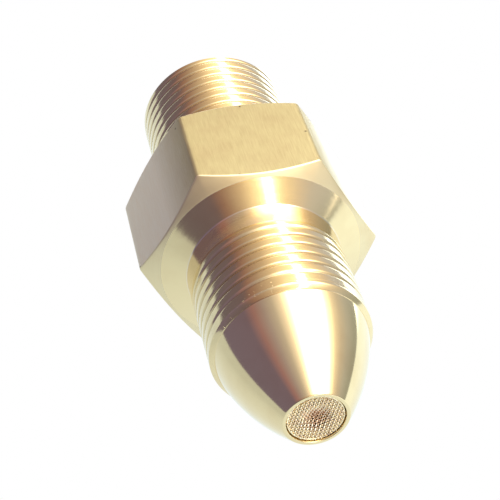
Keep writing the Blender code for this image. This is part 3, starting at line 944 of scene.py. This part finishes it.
def add_strip(name, turn, width, near, far, distance, radiance):
    """A soft light parallel to the nozzle's axis: its turn and width in degrees round the axis, its ends
    in metres along +Y from the middle of the hexagon, and its distance from the axis."""
    angle = math.radians(turn)
    breadth = 2.0 * distance * math.tan(math.radians(width) / 2.0)
    light = bpy.data.lights.new(name, "AREA")
    light.shape = "RECTANGLE"
    light.size = breadth
    light.size_y = far - near
    light.energy = radiance * math.pi * breadth * (far - near)
    lamp = bpy.data.objects.new(name, light)
    out = Vector((math.sin(angle), 0.0, math.cos(angle)))
    lamp.location = CENTRE + out * distance + Vector((0.0, (near + far) / 2.0, 0.0))
    lamp.rotation_euler = (0.0, angle, 0.0)
    lamp.visible_camera = False
    bpy.context.scene.collection.objects.link(lamp)


def glowing(name, colour, strength=1.0):
    """A material that only gives off light."""
    material = bpy.data.materials.new(name)
    material.use_nodes = True
    tree = material.node_tree
    tree.nodes.clear()
    glow = tree.nodes.new("ShaderNodeEmission")
    glow.inputs["Color"].default_value = (*colour, 1.0)
    glow.inputs["Strength"].default_value = strength
    output = tree.nodes.new("ShaderNodeOutputMaterial")
    tree.links.new(glow.outputs[0], output.inputs["Surface"])
    return material


def paper_glow():
    """The white paper under the nozzle, brighter to the right and most of all at the back right."""
    material = glowing("paper", PAPER_COLOUR)
    tree = material.node_tree
    place = tree.nodes.new("ShaderNodeTexCoord").outputs["Object"]
    split = tree.nodes.new("ShaderNodeSeparateXYZ")
    tree.links.new(place, split.inputs[0])
    levels = []
    for axis, low, high, dim, bright in (PAPER_RIGHT, PAPER_FAR_RIGHT, PAPER_BACK):
        level = tree.nodes.new("ShaderNodeMapRange")
        for key, value in (("From Min", low), ("From Max", high), ("To Min", dim), ("To Max", bright)):
            level.inputs[key].default_value = value
        tree.links.new(split.outputs[axis], level.inputs["Value"])
        levels.append(level.outputs["Result"])
    right, far_right, back = levels
    strength = tree.nodes.new("ShaderNodeMath")
    strength.operation = "MULTIPLY_ADD"
    for socket, level in zip(strength.inputs, (far_right, back, right)):
        tree.links.new(level, socket)
    glow = next(node for node in tree.nodes if node.type == "EMISSION")
    tree.links.new(strength.outputs[0], glow.inputs["Strength"])
    return material


def add_sheet(name, low, high, height, material):
    """A flat rectangle of the stage, between two corners."""
    bm = bmesh.new()
    corners = [(low[0], low[1]), (high[0], low[1]), (high[0], high[1]), (low[0], high[1])]
    bm.faces.new([bm.verts.new((x, y, height)) for x, y in corners])
    mesh = bpy.data.meshes.new(name)
    bm.to_mesh(mesh)
    bm.free()
    mesh.materials.append(material)
    sheet = bpy.data.objects.new(name, mesh)
    bpy.context.scene.collection.objects.link(sheet)
    return sheet


def add_camera():
    """A camera looking down at the nose, a little from the -X side."""
    camera = bpy.data.objects.new("camera", bpy.data.cameras.new("camera"))
    camera.data.sensor_width = SENSOR_WIDTH
    camera.data.lens = LENS
    camera.data.clip_start = CLIP_START
    azimuth, elevation = math.radians(CAMERA_AZIMUTH), math.radians(CAMERA_ELEVATION)
    back = Vector((math.sin(azimuth) * math.cos(elevation), -math.cos(azimuth) * math.cos(elevation),
                   math.sin(elevation)))
    camera.location = CENTRE + back * CAMERA_DISTANCE
    camera.rotation_euler = [math.radians(angle) for angle in CAMERA_TURN]
    bpy.context.scene.collection.objects.link(camera)
    bpy.context.scene.camera = camera


build_world()
add_strip("key_light", turn=23.0, width=34.0, near=-0.32, far=0.16, distance=0.5, radiance=1.5)

# The camera alone sees the floor, and reflections alone see the paper and the card.
floor = add_sheet("floor", (-FLOOR_REACH, -FLOOR_REACH), (FLOOR_REACH, FLOOR_REACH), FLOOR_HEIGHT,
                  glowing("white_floor", WHITE))
floor.visible_glossy = False
floor.visible_diffuse = False
paper = add_sheet("paper", *PAPER_CORNERS, PAPER_HEIGHT, paper_glow())
paper.visible_camera = False
card = add_sheet("front_card", *CARD_CORNERS, PAPER_HEIGHT, glowing("card", CARD_COLOUR, CARD_STRENGTH))
card.visible_camera = False

add_camera()
bpy.context.scene.view_settings.view_transform = "Standard"
